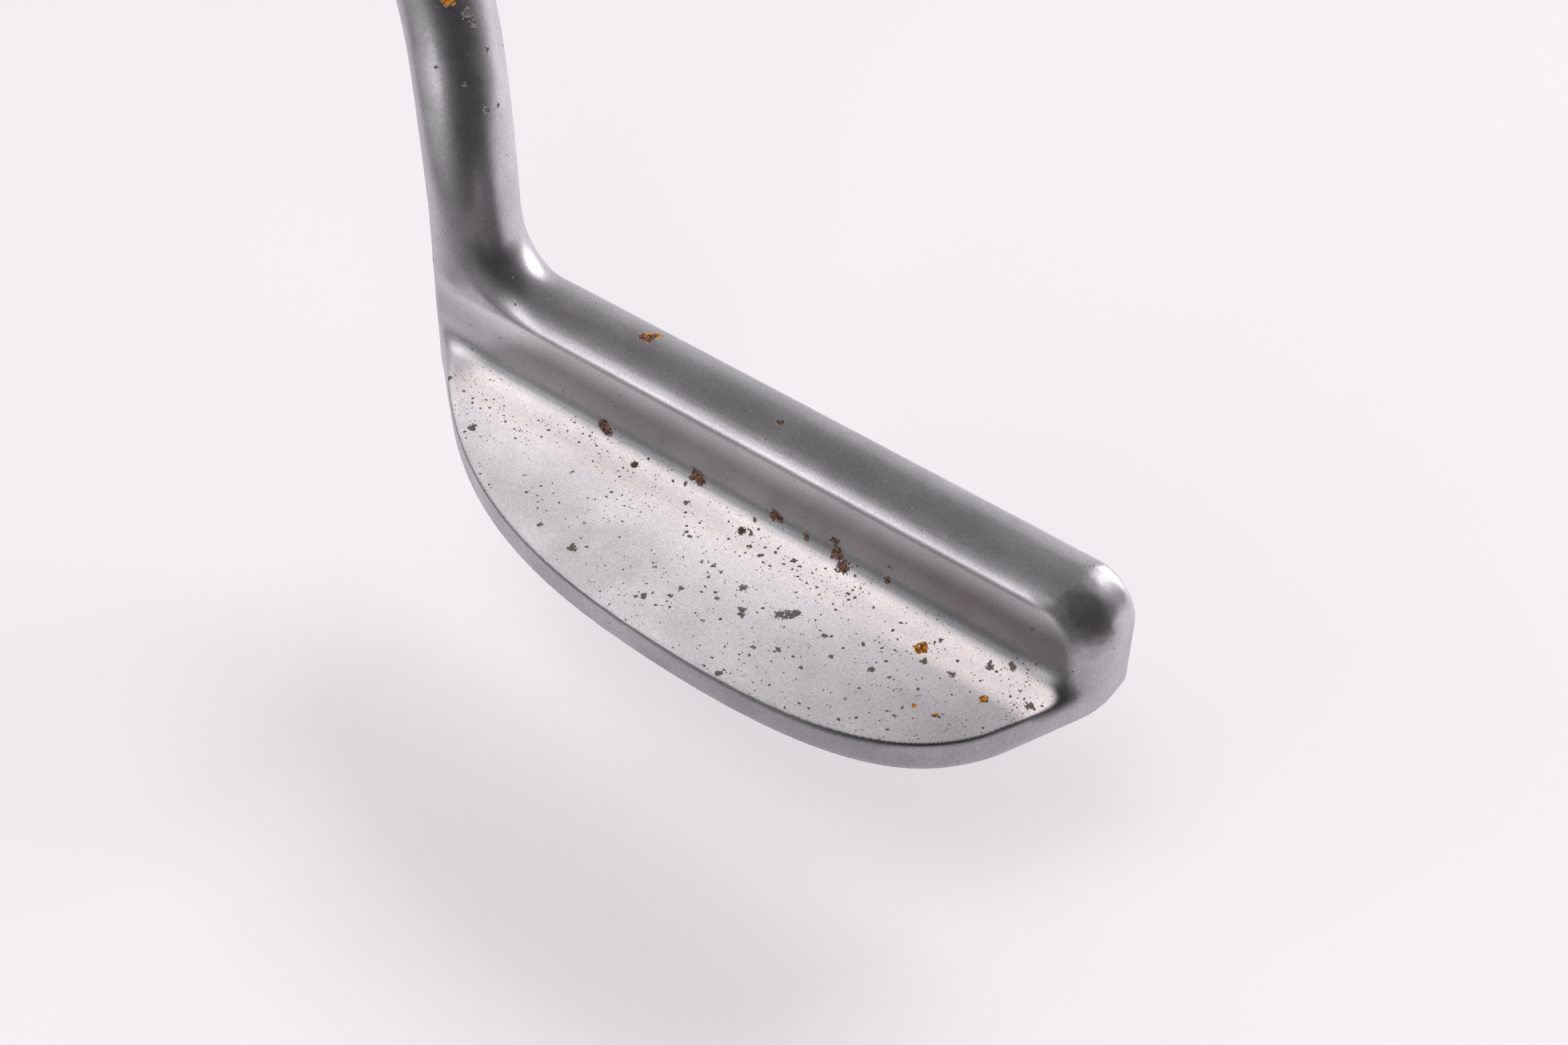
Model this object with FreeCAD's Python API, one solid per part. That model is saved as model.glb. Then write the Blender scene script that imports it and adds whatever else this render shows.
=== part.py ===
import FreeCAD, Part

import math
import os

# A heel-shafted blade putter: forged head with a flange, shaft, ferrule and grip.
# Lengths are millimetres and angles are degrees.
# X runs from heel to toe, Y towards the target, Z up, and the sole lies on Z = 0.
# The origin is on the sole, under the ledge of the bar, at the middle of the blade.

V = FreeCAD.Vector
UP = V(0, 0, 1)
TOEWARD = V(1, 0, 0)
TARGETWARD = V(0, 1, 0)

# Head: plan
heel_reach = 53.8
toe_reach = 58.2
wall_sole_flare = 2.0
flange_reach = 25.0
sole_thickness = 11.4

# Head: section
ledge_height = 17.0
crown_radius = 8.0
crown_edge_angle = 50.0
flange_thickness = 5.2
cove_radius = 3.8
face_loft_angle = 3.5
face_corner_radius = 2.2
rim_radius = 0.8
sole_edge_break = 0.6
toe_sweep_slope = 1.2
shoulder_depth = 6.0

# Neck and hosel
column_radius = 7.0
neck_radius = 6.35
column_forward = 5.5
crotch_radius = 9.0
crotch_depth = 10.0
crotch_bite = 0.15
bar_start_inset = 4.3
run_out_radius = 12.0
shaft_sole_offset = 35.4
shaft_forward = 12.0
lie_angle = 71.0
hosel_height = 96.0
bore_depth = 32.0
bore_floor_thickness = 1.8
bore_mouth_chamfer = 0.4

# Shaft, measured along its own line from the sole
club_length = 889.0
tip_radius = 4.7
butt_radius = 7.35
tube_wall = 0.5
first_step = 380.0
step_spacing = 45.0
step_ramp = 1.6
step_count = 5
glue_thickness = 0.2
pin_radius = 1.5
pin_rise = 11.0
weight_length = 20.0
cork_length = 12.0

# Ferrule
ferrule_length = 25.0
ferrule_top_radius = 5.2
ferrule_taper_length = 8.0

# Grip
grip_length = 265.0
grip_flat_reach = 10.0
grip_rear_reach = 20.0
grip_half_width = 13.4
grip_mouth_length = 3.0
tape_thickness = 0.2
cap_thickness = 4.0
cap_spigot_length = 8.0
vent_radius = 1.2

# Outline of the flange, from heel to the wall at the toe.
# Each pair is a share of the reach on its side and a share of the flange's own reach.
flange_sole_shares = [
    (-0.954, 0.06), (-0.752, -0.365), (-0.505, -0.712), (-0.222, -0.917), (0.09, -0.998),
    (0.42, -0.992), (0.665, -0.888), (0.825, -0.688), (0.925, -0.388),
]

# How far the crotch between bar and neck has turned, as shares of a right angle
crotch_turn_shares = [-0.05, 0.13, 0.31, 0.49, 0.67, 0.85, 1.05]
widest_turn_share = 0.8

# Sections of the grip from its mouth to its top.
# Each row is a share of the length, of the flat's reach, of the rear reach and of the half width.
grip_station_shares = [
    (0.0, 0.81, 0.405, 0.60), (0.004, 0.87, 0.45, 0.664), (0.14, 0.89, 0.48, 0.71),
    (0.35, 0.92, 0.53, 0.775), (0.52, 0.95, 0.58, 0.835), (0.66, 0.97, 0.64, 0.885),
    (0.77, 0.985, 0.72, 0.925), (0.86, 1.0, 0.83, 0.96), (0.93, 1.0, 0.94, 0.985),
    (1.0, 1.0, 1.0, 1.0),
]

# Sections of the cap above the grip, in the same way
cap_station_shares = [
    (0.0, 1.0, 1.0, 1.0), (0.55, 1.0, 1.0, 1.0), (0.85, 0.94, 0.965, 0.95),
    (1.0, 0.83, 0.9, 0.86),
]

# One side of a grip section: corner, side, flank and nose, each with a point half way along.
# Each pair is a share of the reach, negative to the rear, and a share of the half width.
grip_side_shares = [
    (1.0, 0.55), (0.84, 0.87), (0.1, 1.0), (-0.22, 0.948), (-0.5, 0.86),
]

overrun = 1.0
crease_angle = 8.0


def rad(angle):
    return math.radians(angle)


def save(shape, name):
    shape.exportStep(os.path.join("parts", name + ".step"))
    print(name, "solids", len(shape.Solids), "volume", round(shape.Volume, 1),
          "valid", shape.isValid())


def closed_face(edges):
    return Part.Face(Part.Wire(edges))


def line(a, b):
    return Part.LineSegment(a, b).toShape()


def arc(a, middle, b):
    return Part.Arc(a, middle, b).toShape()


# Head: the crown, a single arc from the ledge over to the face
crown_y = crown_radius * math.sin(rad(crown_edge_angle))
crown_z = ledge_height - crown_radius * math.cos(rad(crown_edge_angle))
crown_top = crown_z + crown_radius
crown_edge_drop = crown_top - ledge_height
hull_height = flange_thickness + cove_radius
toe_shoulder_radius = ledge_height - hull_height
wall_reach = toe_reach - toe_sweep_slope * crown_edge_drop
column_x = -heel_reach + column_radius
neck_start_height = crown_top + crotch_radius


def crown_point(x, angle):
    # The angle leans from straight up towards the flange
    y = crown_y - crown_radius * math.sin(rad(angle))
    z = crown_z + crown_radius * math.cos(rad(angle))
    return V(x, y, z)


def crown_plan_point(z):
    # A point half way along the rear of the crown, laid flat in plan
    point = crown_point(0, crown_edge_angle / 2)
    return V(point.z, point.y, z)


def front_envelope():
    # Trims the front of the bar to the crown, and leaves the rear alone
    front = sole_thickness + overrun
    rear = -flange_reach - overrun
    x = -heel_reach - overrun
    front_angle = -math.degrees(math.asin((front - crown_y) / crown_radius))
    top = crown_point(x, 0)
    front_top = crown_point(x, front_angle)
    section = closed_face([
        line(V(x, rear, -overrun), V(x, rear, crown_top)),
        line(V(x, rear, crown_top), top),
        arc(top, crown_point(x, front_angle / 2), front_top),
        line(front_top, V(x, front, -overrun)),
        line(V(x, front, -overrun), V(x, rear, -overrun)),
    ])
    return section.extrude(TOEWARD * (heel_reach + toe_reach + 2 * overrun))


def bar_section(x):
    # Rear half of the crown with a flat front, leaning towards the toe as it rises
    bottom = crown_top - shoulder_depth
    front = sole_thickness + overrun
    ledge = crown_point(0, crown_edge_angle)
    top = crown_point(0, 0)
    flat = Part.Wire([
        line(V(0, 0, bottom), ledge),
        arc(ledge, crown_point(0, crown_edge_angle / 2), top),
        line(top, V(0, front, crown_top)),
        line(V(0, front, crown_top), V(0, front, bottom)),
        line(V(0, front, bottom), V(0, 0, bottom)),
    ])
    lean = FreeCAD.Matrix()
    lean.A13 = toe_sweep_slope
    lean.A14 = x - toe_sweep_slope * crown_top
    return flat.transformGeometry(lean)


def make_bar():
    # The leaning section travels along the bar, round the shoulder and down the toe
    start = V(column_x + bar_start_inset, 0, crown_top)
    bend = V(toe_reach - toe_shoulder_radius, 0, crown_top)
    corner = toe_shoulder_radius * math.sin(rad(45))
    bend_middle = bend + V(corner, 0, corner - toe_shoulder_radius)
    side = bend + V(toe_shoulder_radius, 0, -toe_shoulder_radius)
    foot = side - UP * (crown_top - ledge_height)
    path = Part.Wire([line(start, bend), arc(bend, bend_middle, side), line(side, foot)])
    sweep = Part.BRepOffsetAPI.MakePipeShell(path)
    sweep.setTrihedronMode(V(0, 0, 0), UP)
    sweep.add(bar_section(start.x))
    sweep.build()
    sweep.makeSolid()
    return sweep.shape()


def make_core():
    # What fills the blade under the bar
    corner = V(column_x, 0, hull_height - overrun)
    upper = Part.makeBox(wall_reach - toe_shoulder_radius - corner.x, sole_thickness,
                         toe_shoulder_radius, corner)
    half = toe_shoulder_radius / 2
    lower = Part.makeBox(wall_reach - half - corner.x, sole_thickness, half + overrun, corner)
    return upper.fuse(lower)


def flange_outline(z, wall_end):
    # One closed plan outline of the blade and flange at height z
    points = []
    for along, across in flange_sole_shares:
        reach = heel_reach if along < 0 else wall_end
        points.append(V(along * reach, across * flange_reach, z))
    points.append(V(wall_end, 0, z))
    spread = (toe_reach - wall_end) / crown_edge_drop
    rear = Part.BSplineCurve()
    rear.interpolate(Points=points, InitialTangent=points[1] - points[0],
                     FinalTangent=V(spread * math.tan(rad(crown_edge_angle)), 1, 0))
    front = sole_thickness + overrun
    roll = arc(V(crown_top - crown_edge_drop, 0, z), crown_plan_point(z), V(crown_top, crown_y, z))
    stretch = FreeCAD.Matrix()
    stretch.A11 = spread
    stretch.A14 = toe_reach - spread * crown_top
    heel_inner = V(-heel_reach + column_radius, front, z)
    return Part.Wire([
        rear.toShape(),
        roll.transformGeometry(stretch),
        line(V(toe_reach, crown_y, z), V(toe_reach, front, z)),
        line(V(toe_reach, front, z), heel_inner),
        line(heel_inner, points[0]),
    ])


def cove_arc(x):
    # From the flange floor up to the wall
    diagonal = cove_radius * (1 - math.cos(rad(45)))
    return arc(V(x, -cove_radius, flange_thickness),
               V(x, -diagonal, flange_thickness + diagonal), V(x, 0, hull_height))


def base_section():
    # Sole, flange floor, cove and wall, seen from the heel
    x = -heel_reach - overrun
    rear = -flange_reach - overrun
    front = sole_thickness + 2 * overrun
    return closed_face([
        line(V(x, rear, 0), V(x, rear, flange_thickness)),
        line(V(x, rear, flange_thickness), V(x, -cove_radius, flange_thickness)),
        cove_arc(x),
        line(V(x, 0, hull_height), V(x, front, hull_height)),
        line(V(x, front, hull_height), V(x, front, 0)),
        line(V(x, front, 0), V(x, rear, 0)),
    ])


def make_base():
    low = flange_outline(0, wall_reach + wall_sole_flare)
    high = flange_outline(hull_height, wall_reach)
    hull = Part.makeLoft([low, high], True, True)
    length = heel_reach + toe_reach + 2 * overrun
    return hull.common(base_section().extrude(TOEWARD * length))


def face_cutter():
    # Everything in front of the lofted face
    size = 2 * (heel_reach + toe_reach)
    box = Part.makeBox(size, size, size, V(-size / 2, sole_thickness, -size / 2))
    box.rotate(V(0, sole_thickness, 0), TOEWARD, face_loft_angle)
    return box


def middle(edge):
    first, last = edge.ParameterRange
    return edge.valueAt((first + last) / 2)


def is_crease(shape, edge):
    # True where the two faces of an edge meet at an angle
    point = middle(edge)
    normals = []
    for face in shape.ancestorsOfType(edge, Part.Face):
        u, v = face.Surface.parameter(point)
        normals.append(face.normalAt(u, v))
    return len(normals) == 2 and math.degrees(normals[0].getAngle(normals[1])) > crease_angle


def creases(shape, wanted):
    return [edge for edge in shape.Edges if wanted(middle(edge)) and is_crease(shape, edge)]


def fillet(shape, radius, wanted):
    return shape.makeFillet(radius, creases(shape, wanted))


def chamfer(shape, size, wanted):
    return shape.makeChamfer(size, creases(shape, wanted))


def clear_of_neck(point):
    return point.x > -heel_reach / 2


def on_face_top(point):
    return clear_of_neck(point) and point.y > crown_y + crown_edge_drop and point.z > overrun


def on_lip(point):
    above_floor = point.z > flange_thickness - rim_radius / 2
    return clear_of_neck(point) and point.y < rim_radius and above_floor


def on_foot_edge(point):
    return abs(point.z) < sole_edge_break / 2


def on_sole_edge(point):
    return clear_of_neck(point) and on_foot_edge(point)


def make_blade():
    blade = make_base().fuse([make_bar(), make_core()])
    blade = blade.common(front_envelope()).cut(face_cutter()).removeSplitter()
    blade = fillet(blade, face_corner_radius, on_face_top)
    blade = fillet(blade, rim_radius, on_lip)
    return chamfer(blade, sole_edge_break, on_sole_edge)


# Neck and hosel
hosel_top = hosel_height / math.sin(rad(lie_angle))
bore_floor = hosel_top - bore_depth
neck_end = bore_floor - bore_floor_thickness
neck_end_height = neck_end * math.sin(rad(lie_angle))
lean_per_rise = 1 / math.tan(rad(lie_angle))
shaft_direction = V(-math.cos(rad(lie_angle)), 0, math.sin(rad(lie_angle)))


def shaft_point(height):
    # The point of the shaft's line at a height over the sole
    return V(-shaft_sole_offset - height * lean_per_rise, shaft_forward, height)


def bent_rod(start, heading, end, radius):
    # A round rod on the one arc that leaves start along heading and reaches end
    chord = end - start
    across = chord - heading * chord.dot(heading)
    across.normalize()
    arc_radius = chord.Length ** 2 / (2 * chord.dot(across))
    angle = 2 * math.degrees(math.atan2(chord.dot(across), chord.dot(heading)))
    disc = Part.Face(Part.Wire(Part.Circle(start, heading, radius).toShape()))
    return disc.revolve(start + across * arc_radius, heading.cross(across), angle)


def make_bend():
    # Two equal-tangent arcs join the upright foot to the leaning hosel
    start = V(column_x, column_forward, neck_start_height)
    end = shaft_point(neck_end_height)
    chord = end - start
    spare = 2 * (1 - UP.dot(shaft_direction))
    along = chord.dot(UP + shaft_direction)
    tangent = (math.sqrt(along ** 2 + spare * chord.dot(chord)) - along) / spare
    joint = (start + UP * tangent + end - shaft_direction * tangent) * 0.5
    lower = bent_rod(start, UP, joint, neck_radius)
    upper = bent_rod(end, shaft_direction * -1, joint, neck_radius)
    return lower, upper


def crotch_section(turn):
    # A slice through the crotch: the crown of the bar at no turn, the round neck at a full turn
    share = min(max(turn, 0), 1)
    bite = crotch_bite if share in (0, 1) else 0
    centre = V(column_x + neck_radius + crotch_radius, 0, neck_start_height)

    def place(across, depth):
        reach = crotch_radius + depth + bite
        return V(centre.x - reach * math.sin(rad(90 * turn)), across,
                 centre.z - reach * math.cos(rad(90 * turn)))

    def mix(low, high):
        return low + share * (high - low)

    # The rear edge runs straight on along the ledge until it meets the middle of the neck
    turned_away = math.cos(rad(90 * min(share, widest_turn_share)))
    straight_on = (crotch_radius + crown_edge_drop) / turned_away - crotch_radius
    rear_depth = min(straight_on, neck_radius)
    crown_front = crown_y + crown_edge_drop
    front_drop = crown_radius - math.sqrt(crown_radius ** 2 - crown_edge_drop ** 2)
    inner_half = neck_radius * math.sin(rad(45))
    rear = place(mix(0, column_forward - neck_radius) + bite, rear_depth)
    top = place(mix(crown_y, column_forward), 0)
    front = place(mix(crown_front, column_forward + neck_radius) - bite,
                  mix(front_drop, neck_radius))
    deep_front = place(mix(crown_front, column_forward + inner_half), crotch_depth)
    deep_rear = place(mix(bite, column_forward - inner_half), crotch_depth)
    return Part.Wire([arc(rear, top, front), line(front, deep_front),
                      line(deep_front, deep_rear), line(deep_rear, rear)])


def pocket_cutter():
    # Keeps the rear of the neck's foot flush with the cove, the wall and the ledge
    x = -heel_reach - overrun
    rear = -flange_reach - overrun
    section = closed_face([
        line(V(x, 0, hull_height), V(x, 0, ledge_height)),
        line(V(x, 0, ledge_height), V(x, rear, ledge_height - rear)),
        line(V(x, rear, ledge_height - rear), V(x, rear, flange_thickness)),
        line(V(x, rear, flange_thickness), V(x, -cove_radius, flange_thickness)),
        cove_arc(x),
    ])
    return section.extrude(TOEWARD * (2 * column_radius + 2 * crotch_radius))


def neck_face_cutter():
    # The lofted face, running out in a hollow curve where it meets the neck
    length = 2 * (column_radius + crotch_radius)
    start = V(-heel_reach - overrun, sole_thickness, 0)
    box = Part.makeBox(length, run_out_radius, ledge_height + overrun, start - UP * overrun)
    drum = Part.makeCylinder(run_out_radius, length,
                             start + V(0, run_out_radius, ledge_height), TOEWARD)
    cutter = box.fuse(drum)
    cutter.rotate(start, TOEWARD, face_loft_angle)
    return cutter


def stand_on_shaft(shape):
    # From a piece modelled upright, with its heights measured along the shaft
    shape.Placement = FreeCAD.Placement(V(-shaft_sole_offset, shaft_forward, 0),
                                        FreeCAD.Rotation(TARGETWARD, lie_angle - 90))
    return shape


def turned(points):
    # A round piece from the radii and heights of its corners
    corners = [V(radius, 0, height) for radius, height in points]
    edges = [line(a, b) for a, b in zip(corners, corners[1:] + corners[:1])]
    return closed_face(edges).revolve(V(0, 0, 0), UP, 360)


def tube(inner, outer, low, high):
    return turned([(inner, low), (outer, low), (outer, high), (inner, high)])


def rod(radius, low, high):
    return Part.makeCylinder(radius, high - low, V(0, 0, low))


bore_radius = tip_radius + glue_thickness
pin_height = bore_floor + pin_rise
shaft_end = club_length - cap_thickness
grip_mouth = club_length - grip_length


def make_hosel_blank():
    return rod(neck_radius, neck_end, hosel_top)


def make_pin_blank():
    return Part.makeCylinder(pin_radius, 2 * neck_radius, V(0, -neck_radius, pin_height),
                             TARGETWARD)


def make_pin():
    # Its ends are dressed flush with the round hosel
    return make_pin_blank().common(make_hosel_blank())


def make_neck():
    foot = Part.makeCone(column_radius, neck_radius, neck_start_height,
                         V(column_x, column_forward, 0))
    foot = fillet(foot, sole_edge_break, on_foot_edge)
    crotch = Part.makeLoft([crotch_section(turn) for turn in crotch_turn_shares], True, False)
    foot = foot.fuse(crotch).cut([pocket_cutter(), neck_face_cutter()])
    bore = turned([(0, bore_floor), (bore_radius, bore_floor),
                   (bore_radius, hosel_top - bore_mouth_chamfer),
                   (bore_radius + bore_mouth_chamfer, hosel_top), (0, hosel_top)])
    solid = foot.fuse([*make_bend(), stand_on_shaft(make_hosel_blank())])
    return solid.cut([stand_on_shaft(bore), stand_on_shaft(make_pin_blank())])


# Shaft and what is fitted in its tip
def make_epoxy():
    sleeve = tube(tip_radius, bore_radius, bore_floor, hosel_top - bore_mouth_chamfer)
    return sleeve.cut(make_pin_blank())


def make_shaft():
    outer = [(tip_radius, bore_floor)]
    rise = (butt_radius - tip_radius) / step_count
    for index in range(step_count):
        height = first_step + index * step_spacing
        outer.append((tip_radius + index * rise, height))
        outer.append((tip_radius + (index + 1) * rise, height + step_ramp))
    outer.append((butt_radius, shaft_end))
    tip, butt = tip_radius - tube_wall, butt_radius - tube_wall
    half_bore = (tip + butt) / 2
    half_way = first_step + step_count * step_spacing / 2
    last_step = first_step + step_count * step_spacing
    inner = [(butt, shaft_end), (butt, last_step), (half_bore, last_step),
             (half_bore, half_way), (tip, half_way), (tip, bore_floor)]
    return turned(outer + inner).cut(make_pin_blank())


def make_weight():
    low = pin_height + pin_radius
    return rod(tip_radius - tube_wall, low, low + weight_length)


def make_cork():
    low = pin_height + pin_radius + weight_length
    return rod(tip_radius - tube_wall, low, low + cork_length)


def make_ferrule():
    top = hosel_top + ferrule_length
    return turned([
        (tip_radius, hosel_top), (neck_radius, hosel_top),
        (neck_radius, top - ferrule_taper_length), (ferrule_top_radius, top), (tip_radius, top),
    ])


# Grip
def grip_section(height, flat, rear, half_width):
    side = []
    for along, across in grip_side_shares:
        reach = flat if along > 0 else rear
        side.append(V(along * reach, across * half_width, height))
    other = [V(point.x, -point.y, point.z) for point in side]
    nose = V(-rear, 0, height)
    return Part.Wire([
        line(other[0], side[0]), arc(side[0], side[1], side[2]), arc(side[2], side[3], side[4]),
        arc(side[4], nose, other[4]), arc(other[4], other[3], other[2]),
        arc(other[2], other[1], other[0]),
    ])


def grip_blank(low, high, station_shares):
    sections = []
    for along, flat, rear, half_width in station_shares:
        sections.append(grip_section(low + along * (high - low), flat * grip_flat_reach,
                                     rear * grip_rear_reach, half_width * grip_half_width))
    return Part.makeLoft(sections, True, True)


def make_grip_sleeve():
    blank = grip_blank(grip_mouth, shaft_end, grip_station_shares)
    throat = rod(butt_radius, grip_mouth - overrun, grip_mouth + grip_mouth_length)
    bore = rod(butt_radius + tape_thickness, grip_mouth + grip_mouth_length, shaft_end + overrun)
    return blank.cut(throat.fuse(bore))


def make_tape():
    return tube(butt_radius, butt_radius + tape_thickness,
                grip_mouth + grip_mouth_length, shaft_end)


def make_cap():
    cap = grip_blank(shaft_end, club_length, cap_station_shares)
    spigot = rod(butt_radius - tube_wall, shaft_end - cap_spigot_length, shaft_end)
    vent = rod(vent_radius, shaft_end - cap_spigot_length - overrun, club_length + overrun)
    return cap.fuse(spigot).cut(vent)


def main():
    os.makedirs("parts", exist_ok=True)
    head = make_blade().fuse(make_neck()).removeSplitter()
    save(head, "head")
    upright = {
        "hosel_pin": make_pin(),
        "hosel_epoxy": make_epoxy(),
        "shaft": make_shaft(),
        "tip_weight": make_weight(),
        "tip_cork": make_cork(),
        "ferrule": make_ferrule(),
        "grip_tape": make_tape(),
        "grip_sleeve": make_grip_sleeve(),
        "grip_butt_cap": make_cap(),
    }
    for name, shape in upright.items():
        save(stand_on_shaft(shape), name)


main()
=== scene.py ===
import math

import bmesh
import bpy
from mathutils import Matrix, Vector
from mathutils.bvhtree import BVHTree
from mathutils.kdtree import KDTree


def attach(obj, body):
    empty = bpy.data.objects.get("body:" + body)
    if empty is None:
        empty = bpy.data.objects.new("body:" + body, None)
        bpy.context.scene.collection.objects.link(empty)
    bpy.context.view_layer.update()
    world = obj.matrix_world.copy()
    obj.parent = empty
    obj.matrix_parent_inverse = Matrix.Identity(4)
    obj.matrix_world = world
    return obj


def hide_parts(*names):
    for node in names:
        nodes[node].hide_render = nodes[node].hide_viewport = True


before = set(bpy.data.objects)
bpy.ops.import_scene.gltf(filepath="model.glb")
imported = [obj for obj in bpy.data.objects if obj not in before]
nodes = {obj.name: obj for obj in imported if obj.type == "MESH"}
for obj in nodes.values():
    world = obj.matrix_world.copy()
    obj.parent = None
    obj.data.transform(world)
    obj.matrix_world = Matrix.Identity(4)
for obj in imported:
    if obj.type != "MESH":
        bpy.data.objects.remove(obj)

# %% [markdown]
# # A worn satin putter
# The photograph shows the head and the neck of an old putter before a pale background.
# Its CAD pieces arrive as the frame, in metres, with the sole on Z = 0, X from heel to
# toe, Y towards the target and Z up. They could be modelled again here, but then their
# sizes would drift, so the lesson keeps them and adds what CAD lacks: worn edges,
# finishes, stains and light.

MM = 0.001
scene = bpy.context.scene


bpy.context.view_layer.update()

# %% [markdown]
# ## Camera
# The photograph looks down at the head from behind the flange, a little from the toe.
# A camera could be pushed about until the picture fits. Its place and angles are plain
# numbers here, found by matching known points of the head, so that every rerun agrees.

# %% Camera
photo_width, photo_height = 2352, 1568
camera_azimuth, camera_elevation, camera_roll = 35.59, 46.29, 1.74
camera_lens, sensor_width = 51.54, 36
camera_place = Vector((129.68, -166.24, 220.99)) * MM
nearest_seen, farthest_seen = 0.01, 10

azimuth, elevation = math.radians(camera_azimuth), math.radians(camera_elevation)
back = Vector((math.sin(azimuth) * math.cos(elevation),
               -math.cos(azimuth) * math.cos(elevation), math.sin(elevation)))
level = Vector((math.cos(azimuth), math.sin(azimuth), 0))
roll = Matrix.Rotation(math.radians(camera_roll), 3, back)
right = roll @ level
up = roll @ back.cross(level)

camera_data = bpy.data.cameras.new("camera")
camera_data.sensor_width = sensor_width
camera_data.lens = camera_lens
camera_data.clip_start, camera_data.clip_end = nearest_seen, farthest_seen
camera = bpy.data.objects.new("camera", camera_data)
scene.collection.objects.link(camera)
turn = Matrix((right, up, back)).transposed()
camera.matrix_world = Matrix.Translation(camera_place) @ turn.to_4x4()
scene.camera = camera
print("camera at", [round(v, 4) for v in camera_place])

# %% [markdown]
# ## Worn edges
# The head is one forging, whose edges were ground round and then worn. Bevels on the
# CAD mesh are the usual way, but they fail where three roundings meet. A copy of the
# mesh is rebuilt on a fine, even grid instead and relaxed a little, so every edge gets
# a small radius and the highlights run on without a break.

# %% Grid and relaxing
grid_step = 0.35 * MM
relax_rounds, relax_share = 4, 0.5


def applied(piece):
    # Bakes the modifiers of a piece into its mesh
    graph = bpy.context.evaluated_depsgraph_get()
    mesh = bpy.data.meshes.new_from_object(piece.evaluated_get(graph))
    piece.modifiers.clear()
    piece.data = mesh
    return piece


def relaxing(piece, rounds, share):
    relax = piece.modifiers.new("relax", "SMOOTH")
    relax.iterations = rounds
    relax.factor = share
    return relax


def relax_near(piece, centre, inner, outer, rounds):
    # Relaxes a piece strongly round one place and not at all beyond the outer distance
    near = piece.vertex_groups.new(name="near")
    for vertex in piece.data.vertices:
        distance = (vertex.co - centre).length
        if distance < outer:
            near.add([vertex.index], min((outer - distance) / (outer - inner), 1.0), "REPLACE")
    relaxing(piece, rounds, relax_share).vertex_group = near.name
    applied(piece)
    piece.vertex_groups.clear()


print("grid step of the head:", grid_step)


# %% Filling a corner
def fill_corner(mesh, inside):
    # Adds the convex hull of one low corner, which the fine grid then joins to the rest
    shape = bmesh.new()
    shape.from_mesh(mesh)
    copies = [shape.verts.new(v.co) for v in list(shape.verts) if inside(v.co)]
    hull = bmesh.ops.convex_hull(shape, input=copies)
    spare = set(hull["geom_interior"] + hull["geom_unused"])
    spare = [item for item in spare if isinstance(item, bmesh.types.BMVert)]
    bmesh.ops.delete(shape, geom=spare, context="VERTS")
    shape.to_mesh(mesh)
    shape.free()
    print("corner filled over", len(copies), "points")


def refined(name, step, rounds, share, corners_to_fill=()):
    # A finely gridded copy of a CAD node
    piece = bpy.data.objects.new(name + "_visual", nodes[name].data.copy())
    scene.collection.objects.link(piece)
    for inside in corners_to_fill:
        fill_corner(piece.data, inside)
    grid = piece.modifiers.new("grid", "REMESH")
    grid.mode = "VOXEL"
    grid.voxel_size = step
    grid.use_smooth_shade = True
    relaxing(piece, rounds, share)
    applied(piece)
    piece.data.materials.clear()
    return piece


# %% [markdown]
# ## Refined head
# On the real head the low flange runs out full into the toe and the heel, so those two
# corners of the CAD head are filled up before the grid is laid. The neck grows out of
# the bar in long soft curves. They could be sculpted, but strong relaxing round a few
# named places gives the same flow and can be repeated.

# %% Refined head
flange_top = 5.0 * MM
toe_start, heel_end = 30 * MM, -36 * MM
low_corners = (lambda co: co.z < flange_top and co.x > toe_start,
               lambda co: co.z < flange_top and co.x < heel_end)
head = refined("head", grid_step, relax_rounds, relax_share, low_corners)

flow_rounds = 110
crotch_centre, neck_foot = Vector((-43, 3, 25)) * MM, Vector((-46, 2, 34)) * MM
neck_inner, neck_outer = 7 * MM, 15 * MM
relax_near(head, crotch_centre, neck_inner, neck_outer, flow_rounds)
relax_near(head, neck_foot, neck_inner, neck_outer, flow_rounds // 2)

inner_toe, inner_heel = Vector((54, -1, 6)) * MM, Vector((-48.5, -1.8, 4.5)) * MM
corner_inner, corner_outer = 2 * MM, 6 * MM
for corner in (inner_toe, inner_heel):
    relax_near(head, corner, corner_inner, corner_outer, flow_rounds)
print("head vertices:", len(head.data.vertices))

# %% The head rides the frame
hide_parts("head")
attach(head, "root")
print("head replaced by", head.name)

# %% [markdown]
# ## Stains
# Years in a bag left rust clusters, orange blooms and pits in places of their own. They
# could be painted by hand on an unwrapped mesh. Here each one is named by the column and
# row where the photograph shows it, with its radius in millimetres, and cast through the
# camera onto the head, where it is stored as a soft spot. The finish breaks its edge up.

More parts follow.
